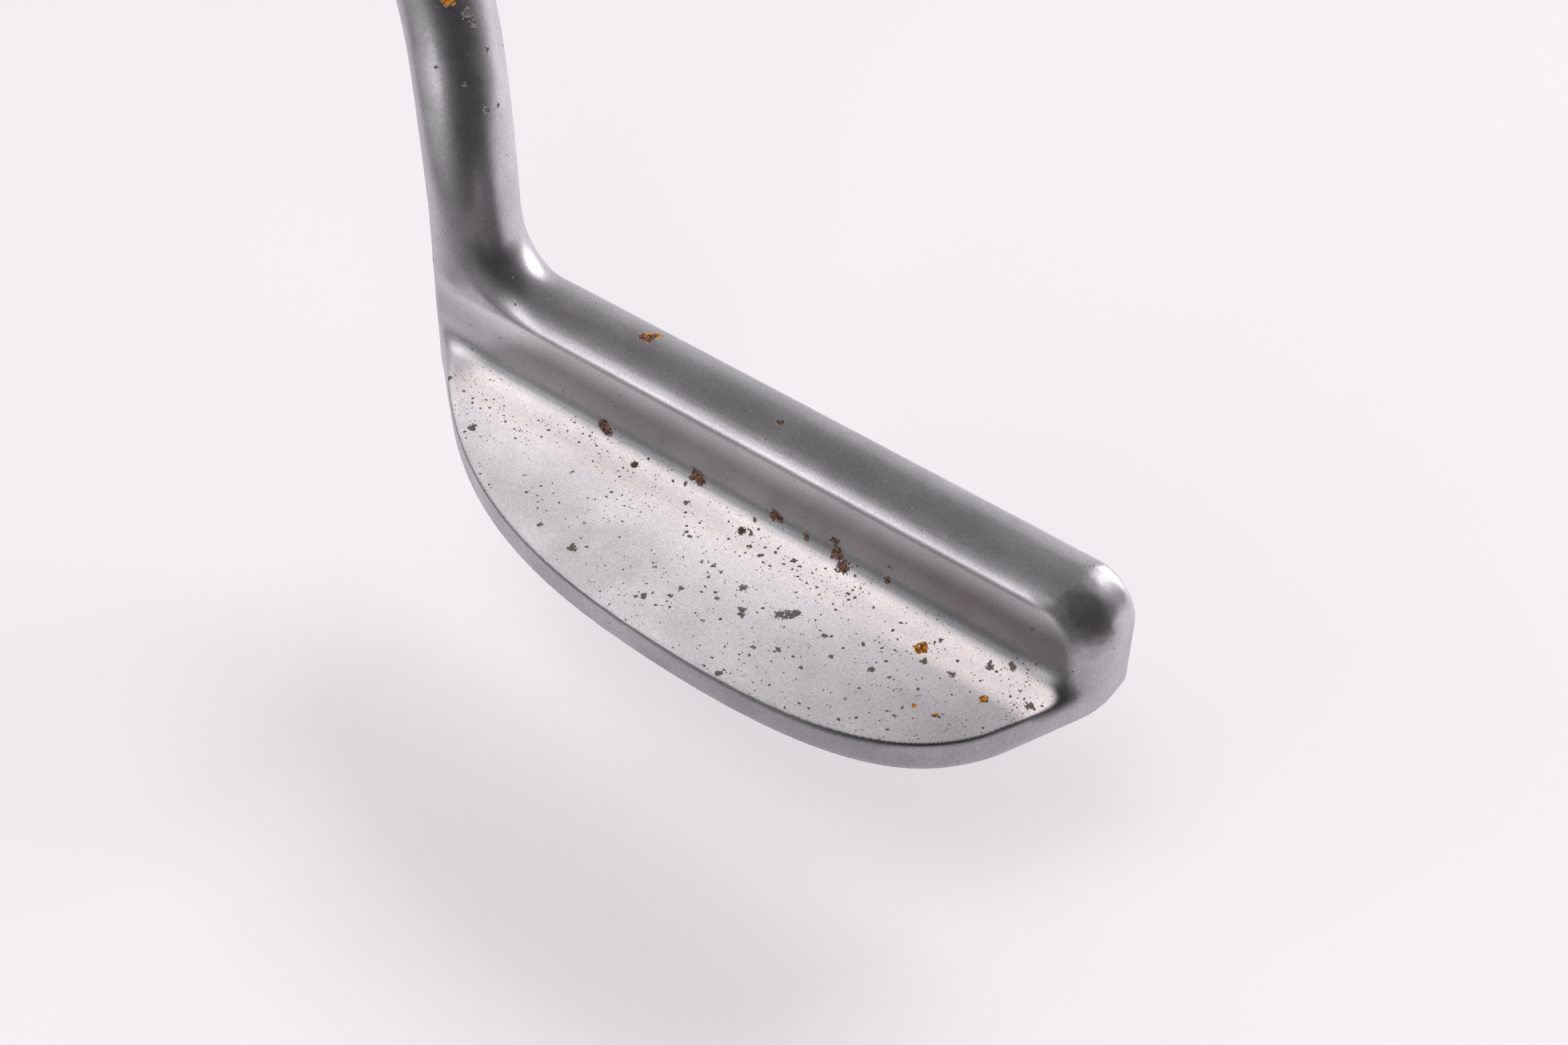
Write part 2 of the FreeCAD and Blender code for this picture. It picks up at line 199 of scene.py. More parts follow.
# %% Stains in the photograph
rust_places = [
    (905, 637, 1.0), (912, 648, 0.8), (1045, 711, 1.1), (1052, 722, 0.8), (1163, 772, 1.0),
    (1172, 780, 0.7), (1210, 805, 0.6), (1253, 812, 0.9), (1257, 830, 1.2), (1264, 850, 1.2),
    (1330, 870, 0.6), (974, 507, 0.9), (962, 505, 0.7), (1170, 634, 0.6), (952, 698, 0.6),
    (1112, 797, 0.7),
]
bloom_places = [
    (1380, 975, 0.9), (1386, 968, 0.6), (1475, 1050, 0.7), (1402, 1073, 0.4),
    (1372, 1058, 0.4), (972, 506, 1.1), (986, 503, 0.7), (672, 2, 0.9), (1045, 716, 0.6),
]
pit_places = [
    (1187, 922, 1.0), (1170, 922, 1.0), (1112, 923, 0.7), (1115, 882, 0.8), (1005, 893, 0.5),
    (1022, 882, 0.5), (953, 895, 0.5), (858, 823, 0.8), (810, 787, 0.5), (857, 708, 0.5),
    (1030, 755, 0.6), (952, 695, 0.5), (1112, 797, 0.9), (1125, 820, 0.6), (1035, 805, 0.5),
    (1428, 1012, 0.7), (1485, 1000, 0.7), (1545, 1060, 0.8), (1237, 955, 0.6),
    (700, 19, 0.9), (712, 34, 0.6), (730, 74, 0.6), (653, 100, 0.4), (697, 127, 0.4),
    (731, 165, 0.6), (747, 158, 0.5), (1195, 920, 0.8), (1180, 925, 0.7),
    (1129, 971, 0.5), (1168, 975, 0.6), (1248, 984, 0.5), (1308, 1004, 0.6), (1521, 1004, 0.5),
    (1548, 944, 0.5), (790, 738, 0.4), (876, 785, 0.4), (982, 851, 0.4), (1029, 798, 0.5),
    (1075, 898, 0.5), (1055, 931, 0.4), (1335, 851, 0.5), (1113, 915, 0.7),
]
stains = {"rust": rust_places, "bloom": bloom_places, "pit": pit_places}
print("stains named:", {name: len(places) for name, places in stains.items()})


# %% Casting onto the head
def photo_ray(column, row):
    # The direction in which the camera sees a place in the photograph
    focal = camera_lens * photo_width / sensor_width
    across = (column - photo_width / 2) / focal
    rise = (photo_height / 2 - row) / focal
    return (right * across + up * rise - back).normalized()


def cast(tree, places):
    # Where the named places of the photograph lie on a piece
    spots = []
    for column, row, radius in places:
        hit = tree.ray_cast(camera_place, photo_ray(column, row))[0]
        if hit:
            spots.append((hit, radius * MM))
    return spots


head_tree = BVHTree.FromPolygons([v.co for v in head.data.vertices],
                                 [p.vertices for p in head.data.polygons])
stain_spots = {name: cast(head_tree, places) for name, places in stains.items()}
print("stains on the head:", {name: len(spots) for name, spots in stain_spots.items()})

# %% Soft spots on the mesh
spot_reach = 2.0


def store(piece, name, values):
    attribute = piece.data.attributes.new(name, "FLOAT", "POINT")
    attribute.data.foreach_set("value", values)
    print(name, "stored, highest value", round(max(values), 3))


def soft_spots(piece, spots):
    # One at the middle of each spot, falling to nothing at its reach
    points = KDTree(len(piece.data.vertices))
    for vertex in piece.data.vertices:
        points.insert(vertex.co, vertex.index)
    points.balance()
    values = [0.0] * len(piece.data.vertices)
    for centre, radius in spots:
        reach = radius * spot_reach
        for _, index, distance in points.find_range(centre, reach):
            values[index] = max(values[index], 1 - distance / reach)
    return values


for name, spots in stain_spots.items():
    store(head, name, soft_spots(head, spots))

# %% [markdown]
# ## Zones
# The floor of the flange was blasted and the rest was brushed and buffed. The zones
# could be separate meshes, but a real finish has no seam. Their masks are stored on the
# mesh and fade into one another, measured from the head's own heights and slopes.

# %% Bands of the zones
floor_height = 5.2 * MM
cove_reach, near_reach = 3.8 * MM, 5 * MM
ledge_height = 17 * MM
ledge_band = (0, 0.8 * MM)
wall_band = (-0.6 * MM, 0)
floor_band = (floor_height - 1.2 * MM, floor_height - 0.6 * MM)
heel_band = (-50 * MM, -40 * MM)
flat_band = (0.62, 0.86)
turn_height_band, turn_toe_band = (11 * MM, 9 * MM), (53 * MM, 47 * MM)
turn_start_band, turn_end_band = (0.12, 0.50), (0.82, 0.62)


def fade(value, band):
    # Nothing at the start of a band and one at its end, with a soft run between
    start, end = band
    share = min(max((value - start) / (end - start), 0), 1)
    return share * share * (3 - 2 * share)


print("floor and ledge in mm:", round(floor_height / MM, 1), round(ledge_height / MM, 1))

# %% Zones of the head
zones = {"floor": [], "cove": [], "near_cove": [], "cove_turn": []}
for vertex in head.data.vertices:
    place, slope = vertex.co, vertex.normal.z
    pocket = fade(ledge_height - place.z, ledge_band) * fade(-place.y, wall_band)
    pocket *= fade(place.z, floor_band) * fade(place.x, heel_band)
    flat = fade(slope, flat_band)
    near = 1 - min(abs(-place.y - cove_reach) / near_reach, 1)
    # The cove_turn mask marks the crease where the wall turns into the floor, which gets
    # painted shade.
    foot = pocket * fade(place.z, turn_height_band) * fade(place.x, turn_toe_band)
    turning = fade(slope, turn_start_band) * fade(slope, turn_end_band)
    zones["floor"].append(pocket * flat)
    zones["cove"].append(pocket * (1 - flat))
    zones["near_cove"].append(pocket * near)
    zones["cove_turn"].append(foot * turning)
for name, mask in zones.items():
    store(head, name, mask)

# %% [markdown]
# ## Shader groups
# Grain, pits and broken spots turn up in several finishes. Each could be built anew in
# every material, but a node group is built once and takes its values by name. Groups
# give masks, tones and heights, and the material itself holds the Principled shader.


# %% Node helpers
def feed(tree, socket, value):
    # Joins another node to a socket, or gives the socket a plain value
    if isinstance(value, bpy.types.NodeSocket):
        tree.links.new(value, socket)
    else:
        socket.default_value = value


class Graph:
    # A short way to add nodes to a tree and to join them

    def __init__(self, tree):
        self.tree = tree

    def add(self, kind, inputs=None, **settings):
        node = self.tree.nodes.new("ShaderNode" + kind)
        for key, value in settings.items():
            setattr(node, key, value)
        for key, value in (inputs or {}).items():
            feed(self.tree, node.inputs[key], value)
        return node

    def math(self, operation, *values):
        node = self.add("Math", dict(enumerate(values)), operation=operation)
        return node.outputs[0]

    def ramp(self, value, band, reach=(0.0, 1.0)):
        # Carries a band of values over to a reach of values, softly at both ends
        node = self.add("MapRange", {"Value": value, "From Min": band[0], "From Max": band[1],
                                     "To Min": reach[0], "To Max": reach[1]},
                        interpolation_type="SMOOTHSTEP")
        return node.outputs[0]

    def mix(self, share, first, second):
        # Colours are given as red, green and blue. A Mix node has a set of sockets for
        # each kind of value: 0 is the share, and 6 and 7 are the two colours.
        opaque = [(*c, 1) if isinstance(c, tuple) else c for c in (first, second)]
        node = self.add("Mix", {0: share, 6: opaque[0], 7: opaque[1]}, data_type="RGBA")
        return node.outputs[2]

    def noise(self, vector, scale, detail=3.0, roughness=0.55):
        node = self.add("TexNoise", {"Vector": vector, "Scale": scale, "Detail": detail,
                                     "Roughness": roughness})
        return node.outputs[0]

    def vector(self, operation, first, second):
        node = self.add("VectorMath", {0: first, 1: second}, operation=operation)
        return node.outputs["Value" if operation == "DOT_PRODUCT" else "Vector"]

    def scaled(self, vector, share):
        return self.add("VectorMath", {0: vector, 3: share}, operation="SCALE").outputs[0]

    def stretched(self, vector, scale):
        return self.add("Mapping", {"Vector": vector, "Scale": scale}).outputs[0]

    def parts(self, vector):
        return self.add("SeparateXYZ", {0: vector}).outputs

    def stored(self, name):
        # Reads a mask that was stored on the mesh
        return self.add("Attribute", attribute_name=name).outputs["Fac"]


# %% Group helpers
def new_group(name, inputs, outputs):
    # A group with its inputs and outputs, and a graph to fill it with
    group = bpy.data.node_groups.new(name, "ShaderNodeTree")
    for label, kind, value in inputs:
        socket = group.interface.new_socket(label, in_out="INPUT",
                                            socket_type="NodeSocket" + kind)
        if value is not None:
            socket.default_value = value
    for label in outputs:
        group.interface.new_socket(label, in_out="OUTPUT", socket_type="NodeSocketFloat")
    entry = group.nodes.new("NodeGroupInput").outputs
    leave = group.nodes.new("NodeGroupOutput").inputs
    print("group", name, "gives", outputs)
    return group, Graph(group), entry, leave


def use(graph, group, **inputs):
    # Places a group in a material with values of its own
    node = graph.tree.nodes.new("ShaderNodeGroup")
    node.node_tree = group
    for key, value in inputs.items():
        feed(graph.tree, node.inputs[key], value)
    return node.outputs


# %% Group: fine grain
grain_inputs = [("Vector", "Vector", None), ("Scale", "Float", 900.0)]
grain_detail, grain_roughness = 4.0, 0.6
cloud_share = 0.12

grain_group, graph, entry, leave = new_group("fine_grain", grain_inputs, ["Height", "Tone"])
coarse = graph.noise(entry["Vector"], entry["Scale"], grain_detail, grain_roughness)
cloud = graph.noise(entry["Vector"], graph.math("MULTIPLY", entry["Scale"], cloud_share))
feed(grain_group, leave["Height"], coarse)
feed(grain_group, leave["Tone"], cloud)

# %% Group: pits
pit_inputs = [("Vector", "Vector", None), ("Scale", "Float", 700.0), ("Density", "Float", 0.3)]
warp_scale, warp_share = 2.2, 0.75
pit_least, pit_spread, pit_edge = 0.06, 0.26, (0.0, 0.05)

pit_group, graph, entry, leave = new_group("scattered_pits", pit_inputs, ["Mask"])
ragged_scale = graph.math("MULTIPLY", entry["Scale"], warp_scale)
warp = graph.add("TexNoise", {"Vector": entry["Vector"], "Scale": ragged_scale}).outputs
shift = graph.scaled(warp["Color"], graph.math("DIVIDE", warp_share, entry["Scale"]))
bent = graph.vector("ADD", entry["Vector"], shift)
cells = graph.add("TexVoronoi", {"Vector": bent, "Scale": entry["Scale"]}).outputs
dice = graph.add("SeparateColor", {"Color": cells["Color"]}).outputs
chosen = graph.math("LESS_THAN", dice[0], entry["Density"])
size = graph.math("MULTIPLY_ADD", dice[1], pit_spread, pit_least)
inside = graph.math("SUBTRACT", size, cells["Distance"])
mask = graph.math("MULTIPLY", chosen, graph.ramp(inside, pit_edge))
feed(pit_group, leave["Mask"], mask)

# %% Group: broken spot
spot_inputs = [("Vector", "Vector", None), ("Spot", "Float", 0.0),
               ("Scale", "Float", 1400.0), ("Threshold", "Float", 0.5)]
ragged_detail, ragged_roughness, ragged_swing = 4.0, 0.65, 1.3
broken_edge, least_spot = (0.0, 0.08), 0.001

spot_group, graph, entry, leave = new_group("broken_spot", spot_inputs, ["Mask"])
ragged = graph.noise(entry["Vector"], entry["Scale"], ragged_detail, ragged_roughness)
lift = graph.math("MULTIPLY_ADD", ragged, ragged_swing, -ragged_swing / 2)
total = graph.math("ADD", entry["Spot"], lift)
over = graph.math("SUBTRACT", total, entry["Threshold"])
present = graph.math("GREATER_THAN", entry["Spot"], least_spot)
mask = graph.math("MULTIPLY", graph.ramp(over, broken_edge), present)
feed(spot_group, leave["Mask"], mask)


# %% Material helpers
def new_material(name):
    material = bpy.data.materials.new(name)
    material.use_nodes = True
    tree = material.node_tree
    tree.nodes.clear()
    graph = Graph(tree)
    place = graph.add("TexCoord").outputs["Object"]
    print("material", name)
    return material, graph, place


def finish_material(graph, colour, roughness, metallic, height, depth, **more):
    # Closes a material with its Principled shader and a bump of the given depth
    bump = graph.add("Bump", {"Height": height, "Strength": 1.0, "Distance": depth})
    shader = graph.add("BsdfPrincipled", {"Base Color": colour, "Roughness": roughness,
                                          "Metallic": metallic, "Normal": bump.outputs[0],
                                          **more})
    output = graph.add("OutputMaterial")
    feed(graph.tree, output.inputs["Surface"], shader.outputs[0])
    print("material closed with", len(graph.tree.nodes), "nodes")


tone_band = (0.3, 0.7)
print("noise tones are read between", tone_band)

# %% [markdown]
# ## Satin chrome
# The head is steel under thin chrome, buffed on the bar and the neck and blasted on the
# floor of the flange. Dark pits show the steel, and the larger stains have rusted. A
# photograph of such metal could be wrapped round the mesh, but it would stretch and
# bring its own light along. Noise in the object's own space has no seams, and the
# stored masks say where each effect belongs.

# %% Satin chrome: where things lie
satin, graph, place = new_material("satin_chrome")
floor, cove = graph.stored("floor"), graph.stored("cove")
near_cove, cove_turn = graph.stored("near_cove"), graph.stored("cove_turn")
rust, bloom, pit = graph.stored("rust"), graph.stored("bloom"), graph.stored("pit")

toe_band, under_edge_band = (0.0, 58 * MM), (11.5 * MM, 17 * MM)
along, outward, rise = graph.parts(place)
toeward = graph.ramp(along, toe_band)
under_edge = graph.ramp(rise, under_edge_band)
rearness = graph.math("MULTIPLY", outward, -1.0)
print("toeward runs over", toe_band, "and the ledge shade over", under_edge_band)

# %% Satin chrome: grain
blasted_scale, brushed_scale = 2400.0, 3000.0
brush_stretch = (0.06, 1, 1)
grain = use(graph, grain_group, Vector=place, Scale=blasted_scale)
brushed = use(graph, grain_group, Vector=graph.stretched(place, brush_stretch),
              Scale=brushed_scale)
print("brushing runs from heel to toe, stretched by", brush_stretch)

# %% Satin chrome: pits
crowd_scale, crowd_band, crowd_reach = 130.0, (0.42, 0.62), (0.35, 1.5)
bare_density, cove_density, toe_density, floor_density = 0.02, 0.36, 0.24, 0.22
fine_scale, small_scale, large_scale = 2300.0, 1250.0, 520.0
fine_strength, large_share = 0.8, 0.4

density = graph.math("MULTIPLY_ADD", near_cove, cove_density, bare_density)
toe_floor = graph.math("MULTIPLY", floor, toeward)
density = graph.math("MULTIPLY_ADD", toe_floor, toe_density, density)
density = graph.math("MULTIPLY_ADD", floor, floor_density, density)
crowd = graph.ramp(graph.noise(place, crowd_scale), crowd_band, crowd_reach)
density = graph.math("MULTIPLY", density, crowd)
large_density = graph.math("MULTIPLY", density, large_share)
fine_pits = use(graph, pit_group, Vector=place, Scale=fine_scale, Density=density)["Mask"]
small_pits = use(graph, pit_group, Vector=place, Scale=small_scale, Density=density)["Mask"]
large_pits = use(graph, pit_group, Vector=place, Scale=large_scale,
                 Density=large_density)["Mask"]
pits = graph.math("MAXIMUM", graph.math("MULTIPLY", fine_pits, fine_strength), small_pits)
pits = graph.math("MAXIMUM", pits, large_pits)
print("pit scales:", fine_scale, small_scale, large_scale)

# %% Satin chrome: the named stains
stain_settings = {"pit": (pit, 2600.0, 0.62), "rust": (rust, 1900.0, 0.58),
                  "bloom": (bloom, 1300.0, 0.5)}
stain_masks = {}
for name, (spot, scale, threshold) in stain_settings.items():
    stain_masks[name] = use(graph, spot_group, Vector=place, Spot=spot, Scale=scale,
                            Threshold=threshold)["Mask"]
rust_mask, bloom_mask = stain_masks["rust"], stain_masks["bloom"]
pits = graph.math("MAXIMUM", pits, stain_masks["pit"])
hurt = graph.math("MAXIMUM", pits, rust_mask)
print("stain masks:", list(stain_masks))

# %% [markdown]
# ### Colours of the chrome
# Blasted chrome is paler than buffed chrome, and the floor is darker towards the toe.
# One colour for the whole head would be simpler, but the flange would then not stand out
# from the bar. Near the wall the floor gets painted light. Glossy rays find a darker floor
# than the camera does, a painted dark reflection, because the wall above it stays dark in
# the photograph.

# %% Satin chrome: the buffed plate and the cove
plate_dark, plate_light = (0.63, 0.600, 0.64), (0.73, 0.700, 0.74)
cove_heel, cove_toe = (0.70, 0.685, 0.71), (0.50, 0.485, 0.51)
cove_painted_light, cove_light_share = (0.95, 0.93, 0.96), 0.6
cove_painted_shade, cove_shade_share = (0.03, 0.03, 0.03), 0.62

plate = graph.mix(grain["Tone"], plate_dark, plate_light)
cove_light_and_shade = graph.mix(toeward, cove_heel, cove_toe)
# Painted light: the wall of the cove is paler just under the ledge.
cove_light_and_shade = graph.mix(graph.math("MULTIPLY", under_edge, cove_light_share), cove_light_and_shade, cove_painted_light)
# Painted shade in the crease where the wall of the cove turns into the floor.
cove_light_and_shade = graph.mix(graph.math("MULTIPLY", cove_turn, cove_shade_share), cove_light_and_shade, cove_painted_shade)
plate = graph.mix(cove, plate, cove_light_and_shade)
print("plate from", plate_dark, "to", plate_light)

# %% Satin chrome: the blasted floor
heel_dark, heel_light = (0.565, 0.532, 0.555), (0.63, 0.595, 0.62)
toe_dark, toe_light = (0.29, 0.276, 0.288), (0.35, 0.335, 0.347)
floor_painted_light, floor_light_band, floor_light_less_at_toe = (0.96, 0.91, 0.935), (16.5 * MM, 3.5 * MM), -0.85
warm_tint_and_light, warm_light_band, warm_light_strength = (1.0, 0.89, 0.89), (0.15, 0.8), 0.85
painted_floor_reflection, mirrored_share, mirrored_less = (0.06, 0.06, 0.06), 0.95, -0.35

blasted = graph.mix(toeward, graph.mix(grain["Tone"], heel_dark, heel_light),
                    graph.mix(grain["Tone"], toe_dark, toe_light))
# Painted light: the floor is paler near the wall, less so towards the toe.
floor_light_share = graph.math("MULTIPLY", graph.ramp(rearness, floor_light_band),
                        graph.math("MULTIPLY_ADD", toeward, floor_light_less_at_toe, 1.0))
blasted = graph.mix(floor_light_share, blasted, floor_painted_light)
# A warm tint and painted light on the floor along the foot of the cove.
warmth_and_light = graph.math("MULTIPLY", graph.ramp(near_cove, warm_light_band), warm_light_strength)
blasted = graph.mix(warmth_and_light, blasted, warm_tint_and_light)
# Painted reflection: glossy rays see the floor nearly black, a little less so near the cove.
seen_in_wall = graph.add("LightPath").outputs["Is Glossy Ray"]
painted_reflection_share = graph.math("MULTIPLY_ADD", near_cove, mirrored_less, mirrored_share)
painted_reflection_share = graph.math("MULTIPLY", seen_in_wall, painted_reflection_share)
blasted = graph.mix(painted_reflection_share, blasted, painted_floor_reflection)
colour = graph.mix(floor, plate, blasted)
print("floor from", heel_dark, "at the heel to", toe_dark, "at the toe")

# %% Satin chrome: sparkle and smudges
sparkle_scale, sparkle_detail, sparkle_reach = 3600.0, 2.0, (0.88, 1.10)
smudge_scale, smudge_detail = 75.0, 3.0
smudge_band, smudge_reach = (0.36, 0.62), (0.90, 1.03)
speck_roughness = 0.6

sparkle = graph.noise(place, sparkle_scale, sparkle_detail, speck_roughness)
sparkle = graph.ramp(sparkle, tone_band, sparkle_reach)
smudge = graph.noise(place, smudge_scale, smudge_detail, speck_roughness)
smudge = graph.ramp(smudge, smudge_band, smudge_reach)
colour = graph.scaled(colour, graph.math("MULTIPLY", sparkle, smudge))
print("sparkle", sparkle_reach, "smudge", smudge_reach)

# %% Satin chrome: rust, blooms and pits
bloom_scale, bloom_band = 2100.0, (0.4, 0.6)
bloom_dark, bloom_light = (0.10, 0.04, 0.012), (0.52, 0.19, 0.008)
rust_scale, rust_band = 2600.0, (0.35, 0.65)
rust_dark, rust_light = (0.014, 0.010, 0.009), (0.17, 0.075, 0.045)
pit_colour, pit_share = (0.055, 0.046, 0.034), 0.92

bloom_tone = graph.ramp(graph.noise(place, bloom_scale), bloom_band)
colour = graph.mix(bloom_mask, colour, graph.mix(bloom_tone, bloom_dark, bloom_light))
rust_tone = graph.ramp(graph.noise(place, rust_scale), rust_band)
colour = graph.mix(rust_mask, colour, graph.mix(rust_tone, rust_dark, rust_light))
colour = graph.mix(graph.math("MULTIPLY", pits, pit_share), colour, pit_colour)
print("rust from", rust_dark, "to", rust_light)

# %% Satin chrome: gloss
polish_reach, blast_reach = (0.34, 0.40), (0.50, 0.58)
hurt_roughness = 0.8
floor_matt, floor_matt_near, wall_matt = -0.86, -0.12, -0.38

polish = graph.ramp(brushed["Tone"], tone_band, polish_reach)
blast = graph.ramp(grain["Tone"], tone_band, blast_reach)
# Sockets 2 and 3 of a Mix node are its two plain values
roughness = graph.add("Mix", {0: floor, 2: polish, 3: blast}).outputs[0]
rough_hurt = graph.math("MULTIPLY", hurt, hurt_roughness)
roughness = graph.math("MAXIMUM", roughness, rough_hurt)

metallic = graph.math("SUBTRACT", 1.0, graph.math("MAXIMUM", hurt, bloom_mask))
matt_share = graph.math("MULTIPLY_ADD", near_cove, floor_matt_near, floor_matt)
metallic = graph.math("MULTIPLY", metallic,
                      graph.math("MULTIPLY_ADD", floor, matt_share, 1.0))
matt_wall = graph.math("MULTIPLY", cove, graph.math("MULTIPLY", under_edge, wall_matt))
metallic = graph.math("MULTIPLY", metallic, graph.math("ADD", matt_wall, 1.0))
print("roughness: polished", polish_reach, "blasted", blast_reach)

# %% Satin chrome: relief
grain_plain, grain_on_floor, brushed_share = 0.07, 0.40, 0.08
satin_depth = 0.06 * MM

grain_share = graph.math("MULTIPLY_ADD", floor, grain_on_floor, grain_plain)
height = graph.math("MULTIPLY", grain["Height"], grain_share)
height = graph.math("MULTIPLY_ADD", brushed["Height"], brushed_share, height)
height = graph.math("SUBTRACT", height, hurt)
finish_material(graph, colour, roughness, metallic, height, satin_depth)
head.data.materials.append(satin)

# %% [markdown]
# ## Shaft, pin and tip weight
# The shaft is bright chrome that was polished as it spun, so faint lines run round it,
# and the pin and the tip weight are plain turned steel. An anisotropic shader could
# stretch the highlights, but the lines themselves are what the eye finds close up.
# Stretched grain draws them, in a space turned to follow the shaft.

# %% Lines round the shaft
lie = math.radians(71)
upright_turn = (0, math.radians(90) - lie, 0)
ring_stretch = (0.05, 0.05, 1)
speck_scale, speck_density, speck_share = 500.0, 0.02, 0.6
speck_colour, speck_depth = (0.12, 0.10, 0.09), -0.5
dark_tint, rougher, ring_height = 0.88, 0.06, 0.1
turned_depth = 0.02 * MM


def along_shaft(graph, place):
    # The place turned so that its Z runs up the shaft
    return graph.add("Mapping", {"Vector": place, "Rotation": upright_turn}).outputs[0]


def turned_metal(name, tint, rough, lines):
    material, graph, place = new_material(name)
    rings = graph.stretched(along_shaft(graph, place), ring_stretch)
    turned = use(graph, grain_group, Vector=rings, Scale=lines)
    specks = use(graph, pit_group, Vector=place, Scale=speck_scale,
                 Density=speck_density)["Mask"]
    dark = tuple(dark_tint * v for v in tint)
    colour = graph.mix(turned["Tone"], dark, tint)
    colour = graph.mix(graph.math("MULTIPLY", specks, speck_share), colour, speck_colour)
    roughness = graph.ramp(turned["Height"], tone_band, (rough, rough + rougher))
    height = graph.math("MULTIPLY_ADD", turned["Height"], ring_height,
                        graph.math("MULTIPLY", specks, speck_depth))
    finish_material(graph, colour, roughness, 1.0, height, turned_depth)
    return material


shaft_chrome = turned_metal("shaft_chrome", tint=(0.72, 0.72, 0.73), rough=0.10, lines=2600.0)
pin_steel = turned_metal("pin_steel", tint=(0.55, 0.54, 0.53), rough=0.28, lines=3000.0)
weight_steel = turned_metal("weight_steel", tint=(0.40, 0.39, 0.38), rough=0.42, lines=1800.0)

# %% [markdown]
# ## Ferrule, glue, tape, cork and cap
# These pieces are moulded, cast or cut, and most hide inside the others. A flat colour
# would do for a glance, but a cutaway or an exploded view shows them all. One recipe of
# two tones, a grain and a gloss serves them, each with values of its own.

# %% Soft and moulded finishes
duller, coat_roughness = 0.12, 0.15


def moulded(name, low, high, rough, scale, depth, coat=0.0):
    material, graph, place = new_material(name)
    grain = use(graph, grain_group, Vector=place, Scale=scale)
    colour = graph.mix(grain["Tone"], low, high)
    roughness = graph.ramp(grain["Tone"], tone_band, (rough, rough + duller))
    finish_material(graph, colour, roughness, 0.0, grain["Height"], depth,
                    **{"Coat Weight": coat, "Coat Roughness": coat_roughness})
    return material


ferrule_plastic = moulded("ferrule_plastic", low=(0.006, 0.006, 0.007),
                          high=(0.014, 0.014, 0.015), rough=0.22, scale=500.0,
                          depth=0.01 * MM, coat=0.3)
cured_glue = moulded("cured_glue", low=(0.30, 0.27, 0.18), high=(0.42, 0.38, 0.27),
                     rough=0.35, scale=600.0, depth=0.02 * MM)
tape = moulded("tape", low=(0.50, 0.44, 0.32), high=(0.62, 0.56, 0.42),
               rough=0.6, scale=800.0, depth=0.03 * MM)
cork = moulded("cork", low=(0.26, 0.14, 0.07), high=(0.50, 0.31, 0.17),
               rough=0.75, scale=700.0, depth=0.1 * MM)
cap_rubber = moulded("cap_rubber", low=(0.012, 0.012, 0.012), high=(0.026, 0.025, 0.025),
                     rough=0.50, scale=900.0, depth=0.03 * MM)

# %% [markdown]
# ## Grip rubber
# The grip has fine moulded grooves across its sides and a matt, slightly worn skin. The
# grooves could be cut into the mesh, but hundreds of them would cost far more than they
# show. A wave texture along the shaft dents them instead and darkens them with painted shade.

# %% Grip rubber
groove_scale, groove_band = 78.0, (0.0, 0.35)
skin_scale, skin_reach, skin_height = 1500.0, (0.52, 0.68), 0.15
skin_dark, skin_light = (0.010, 0.010, 0.010), (0.024, 0.023, 0.023)
groove_shade_colour, groove_depth = (0.005, 0.005, 0.005), 0.4 * MM

rubber, graph, place = new_material("grip_rubber")
groove_wave = graph.add("TexWave", {"Vector": along_shaft(graph, place),
                                    "Scale": groove_scale, "Distortion": 0.0},
                        wave_type="BANDS", bands_direction="Z", wave_profile="SIN")
groove = graph.ramp(groove_wave.outputs["Fac"], groove_band)
grain = use(graph, grain_group, Vector=place, Scale=skin_scale)
colour = graph.mix(grain["Tone"], skin_dark, skin_light)
# Painted shade in the grooves.
colour = graph.mix(groove, groove_shade_colour, colour)
roughness = graph.ramp(grain["Tone"], tone_band, skin_reach)
height = graph.math("MULTIPLY_ADD", grain["Height"], skin_height, groove)
finish_material(graph, colour, roughness, 0.0, height, groove_depth)

# %% [markdown]
# ## Grip shape
# The sleeve is moulded rubber with a flat front and soft flanks. Shading the CAD faces
# smooth would leave creases where they meet, so the sleeve is rebuilt on an even grid,
# as the head was.

# %% Grip shape
grip_step = 1.2 * MM
grip_rounds = 3
grip = refined("grip_sleeve", grip_step, grip_rounds, relax_share)
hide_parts("grip_sleeve")
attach(grip, "root")
grip.data.materials.append(rubber)
print("grip vertices:", len(grip.data.vertices))

# %% [markdown]
# ## Pieces carried over
# The eight other pieces are turned, drawn or cut parts whose CAD shape is already the
# real one. They could be refined too, but it would only add faces. They keep their mesh
# and get a finish.

# %% Finishes on the carried-over pieces
finishes = {
    "hosel_pin": pin_steel, "hosel_epoxy": cured_glue, "shaft": shaft_chrome,
    "tip_weight": weight_steel, "tip_cork": cork, "ferrule": ferrule_plastic,
    "grip_tape": tape, "grip_butt_cap": cap_rubber,
}
for name, material in finishes.items():
    nodes[name].data.materials.clear()
    nodes[name].data.materials.append(material)
print("carried-over pieces finished:", len(finishes))

# %% [markdown]
# ## Table
# The head is held a little over a pale table that catches its soft shadow. A plain
# colour would do for the shadow, but satin metal mirrors the table too, and in the
# photograph it mirrors a partly shaded one. So the camera sees a plain table, and glossy
# rays find greys that change over its surface.

# %% Table
floor_drop = 46 * MM
floor_reach, floor_front = 1.6, 0.16

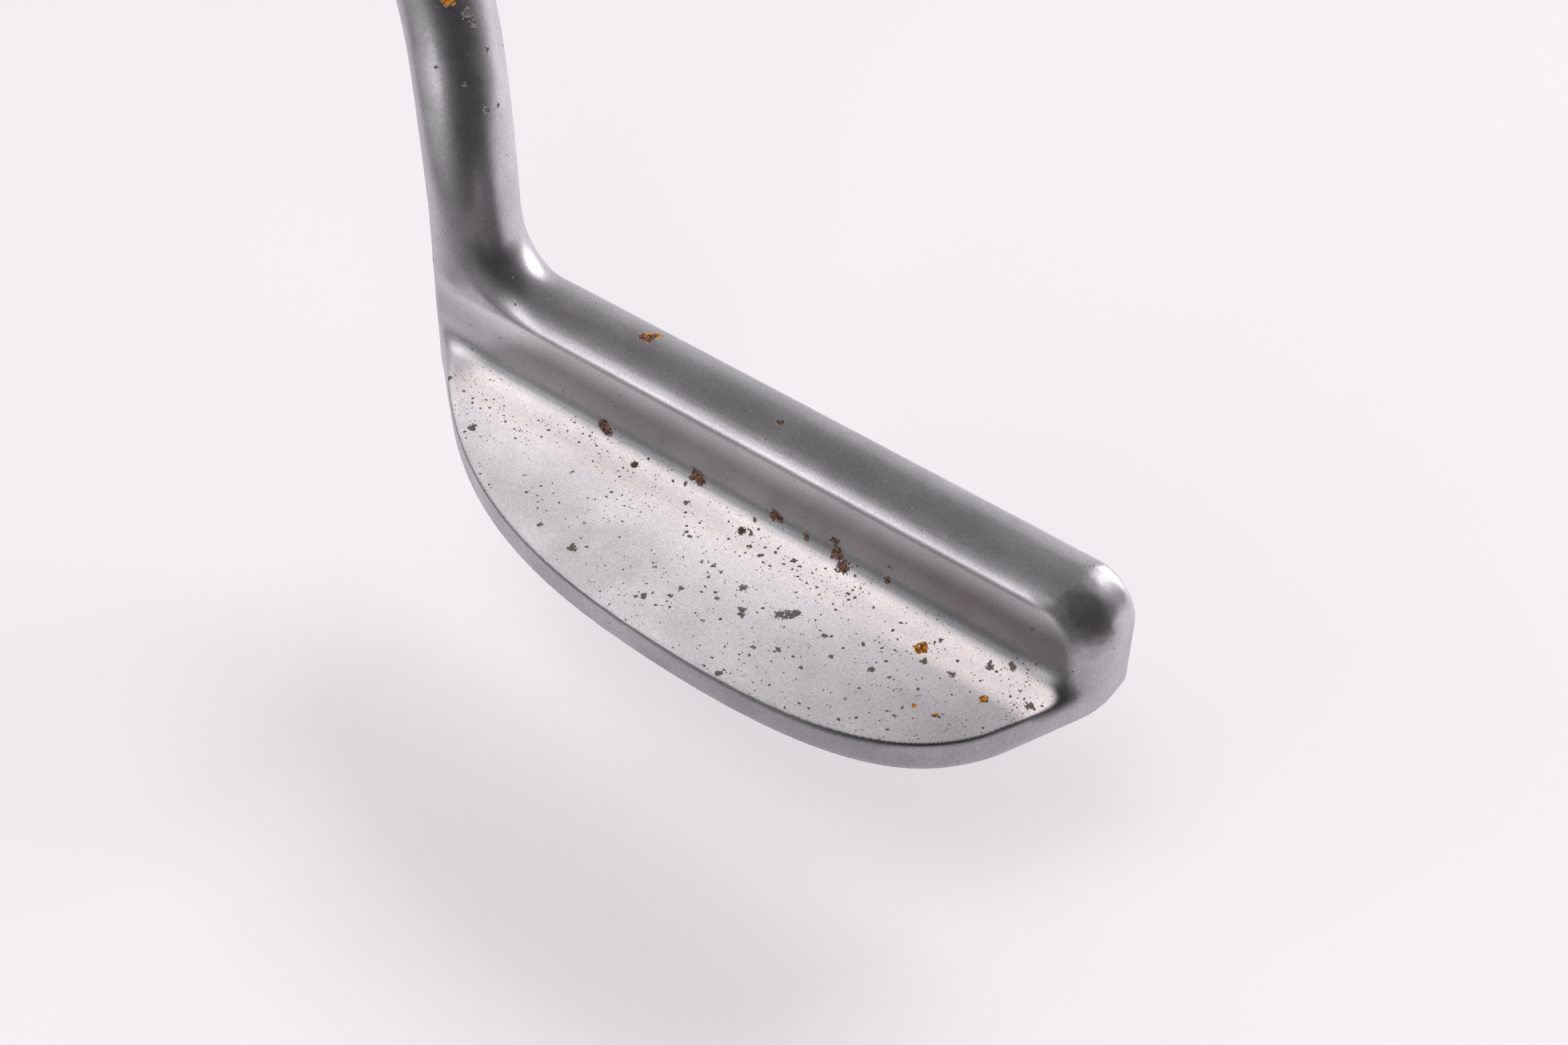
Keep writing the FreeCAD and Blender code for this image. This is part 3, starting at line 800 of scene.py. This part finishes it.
floor_mesh = bmesh.new()
floor_corners = [(-floor_reach, -floor_front), (floor_reach, -floor_front),
                 (floor_reach, floor_reach), (-floor_reach, floor_reach)]
floor_mesh.faces.new([floor_mesh.verts.new((x, y, -floor_drop)) for x, y in floor_corners])
floor_data = bpy.data.meshes.new("table")
floor_mesh.to_mesh(floor_data)
floor_mesh.free()
table = bpy.data.objects.new("table", floor_data)
scene.collection.objects.link(table)
print("table below the sole by", floor_drop)

# %% What the metal sees of the table
front_grey, rear_grey, rear_band = (0.46, 0.445, 0.46), (0.76, 0.74, 0.76), (-0.06, 0.14)
heel_grey, heel_side_band, heel_share = (0.80, 0.78, 0.80), (0.03, -0.03), 0.35
shade_grey = (0.05, 0.05, 0.05)
slant_share, slant_band, front_band = 0.9, (0.0325, -0.0275), (0.064, 0.092)
toe_side_band, toe_rear_band, toe_shade_reach = (0.135, 0.19), (0.11, 0.04), (0.0, 0.85)

paper, graph, place = new_material("pale_table")
along, outward = graph.parts(place)[:2]
# Painted shade and light on the table, seen only by glossy rays: grey in front, paler at the
# rear and the heel, and near black in front of the head and off the toe.
in_metal = graph.mix(graph.ramp(outward, rear_band), front_grey, rear_grey)
heelward = graph.math("MULTIPLY", graph.ramp(along, heel_side_band), heel_share)
in_metal = graph.mix(heelward, in_metal, heel_grey)
slant = graph.math("MULTIPLY_ADD", outward, slant_share, along)
forward = graph.math("MULTIPLY", outward, -1.0)
front_shade = graph.math("MULTIPLY", graph.ramp(forward, front_band),
                         graph.ramp(slant, slant_band))
toe_shade = graph.math("MULTIPLY", graph.ramp(along, toe_side_band),
                       graph.ramp(outward, toe_rear_band, toe_shade_reach))
shade = graph.math("MAXIMUM", front_shade, toe_shade)
shaded = graph.mix(shade, in_metal, shade_grey)
print("the metal sees greys from", front_grey, "to", rear_grey)

# %% Pale table
haze_scale, haze_detail, haze_roughness = 9.0, 2.0, 0.5
haze_dark, haze_light = (0.752, 0.729, 0.752), (0.772, 0.752, 0.772)
table_roughness, table_specular = 0.7, 0.1
tooth_scale, tooth_depth = 400.0, 0.05 * MM

haze = graph.noise(place, haze_scale, haze_detail, haze_roughness)
colour = graph.mix(haze, haze_dark, haze_light)
mirrored = graph.add("LightPath").outputs["Is Glossy Ray"]
colour = graph.mix(mirrored, colour, shaded)
finish_material(graph, colour, table_roughness, 0.0, graph.noise(place, tooth_scale),
                tooth_depth, **{"Specular IOR Level": table_specular})
table.data.materials.append(paper)

# %% [markdown]
# ## Lights
# Two soft lights from above, one behind the head and one in front, model its form. Two
# lower panels, behind and in front, are what the bright edges mirror. One large light
# would be simpler, but the matt floor and the satin wall need different amounts, so the
# upper lights are hidden from glossy rays and the rear panel from diffuse ones.

# %% Lights
light_distance = 1.2


def soft_light(name, direction, size, radiance):
    # A rectangular light of a given brightness that faces the middle of the head
    data = bpy.data.lights.new(name, "AREA")
    data.shape = "RECTANGLE"
    data.size, data.size_y = size
    data.energy = radiance * math.pi * size[0] * size[1]
    lamp = bpy.data.objects.new(name, data)
    scene.collection.objects.link(lamp)
    lamp.location = Vector(direction).normalized() * light_distance
    lamp.rotation_mode = "QUATERNION"
    lamp.rotation_quaternion = lamp.location.to_track_quat("Z", "Y")
    print("light", name, "of", round(data.energy, 3), "W")
    return lamp


key = soft_light("key", direction=(0.20, 0.68, 1.0), size=(0.62, 0.52), radiance=4.8)
front_fill = soft_light("front_fill", direction=(0.05, -0.42, 1.0), size=(0.45, 0.45),
                        radiance=4.5)
rear_panel = soft_light("rear_panel", direction=(0.343, 0.848, 0.405), size=(0.44, 0.75),
                        radiance=5.6)
soft_light("front_panel", direction=(-0.45, -0.82, 0.42), size=(0.9, 0.75), radiance=1.3)
key.visible_glossy = False
front_fill.visible_glossy = False
rear_panel.visible_diffuse = False

# %% [markdown]
# ## Room
# Metal is mostly a picture of the room. A photographed surrounding could be used, but
# three directions are enough: dim towards the front of the toe side, brighter towards
# the heel, and brightest low behind the toe.

# %% Group: what the metal sees of the room
dim_side = Vector((0.84, -0.54, 0)).normalized()
toe_side = Vector((0.927, 0.375, 0)).normalized()
bright_side = Vector((0.37, 0.93, 0)).normalized()
dim_band, dim_reach = (0.95, 0.1), (0.045, 0.42)
heel_side_glow, heel_glow_reach = (0.1, -0.9), (0.0, 0.26)
bright_band, bright_reach = (0.82, 0.99), (0.0, 0.40)
toe_side_dimming, toe_dim_reach = (0.75, 0.94), (1.0, 0.28)
overhead_band = (0.30, 0.80)
above_band, above_reach = (0.15, 0.55), (0.20, 0.06)

room_group, graph, entry, leave = new_group(
    "room_in_metal", [("Direction", "Vector", None)], ["Tone", "Overhead", "Above"])
unit = graph.add("VectorMath", {0: entry["Direction"]}, operation="NORMALIZE").outputs[0]
from_dim, to_bright, to_toe = (graph.vector("DOT_PRODUCT", unit, side)
                               for side in (dim_side, bright_side, toe_side))
tone = graph.math("ADD", graph.ramp(from_dim, dim_band, dim_reach),
                  graph.ramp(from_dim, heel_side_glow, heel_glow_reach))
tone = graph.math("ADD", tone, graph.ramp(to_bright, bright_band, bright_reach))
tone = graph.math("MULTIPLY", tone, graph.ramp(to_toe, toe_side_dimming, toe_dim_reach))
feed(room_group, leave["Tone"], tone)
feed(room_group, leave["Overhead"], graph.ramp(graph.parts(unit)[2], overhead_band))
feed(room_group, leave["Above"], graph.ramp(from_dim, above_band, above_reach))

# %% World
ambient_light, white_room = (0.74, 0.73, 0.74), (0.90, 0.88, 0.90)

world = bpy.data.worlds.new("room")
world.use_nodes = True
scene.world = world
world.node_tree.nodes.clear()
graph = Graph(world.node_tree)
direction = graph.add("TexCoord").outputs["Generated"]
room = use(graph, room_group, Direction=direction)
seen_in_metal = graph.mix(room["Overhead"], room["Tone"], room["Above"])
path = graph.add("LightPath").outputs
ambient = graph.mix(path["Is Diffuse Ray"], seen_in_metal, ambient_light)
seen = graph.mix(path["Is Camera Ray"], ambient, white_room)
sky = graph.add("Background", {"Color": seen, "Strength": 1.0})
out = graph.add("OutputWorld")
feed(world.node_tree, out.inputs["Surface"], sky.outputs[0])

scene.view_settings.view_transform = "Standard"
print("world nodes:", len(world.node_tree.nodes))
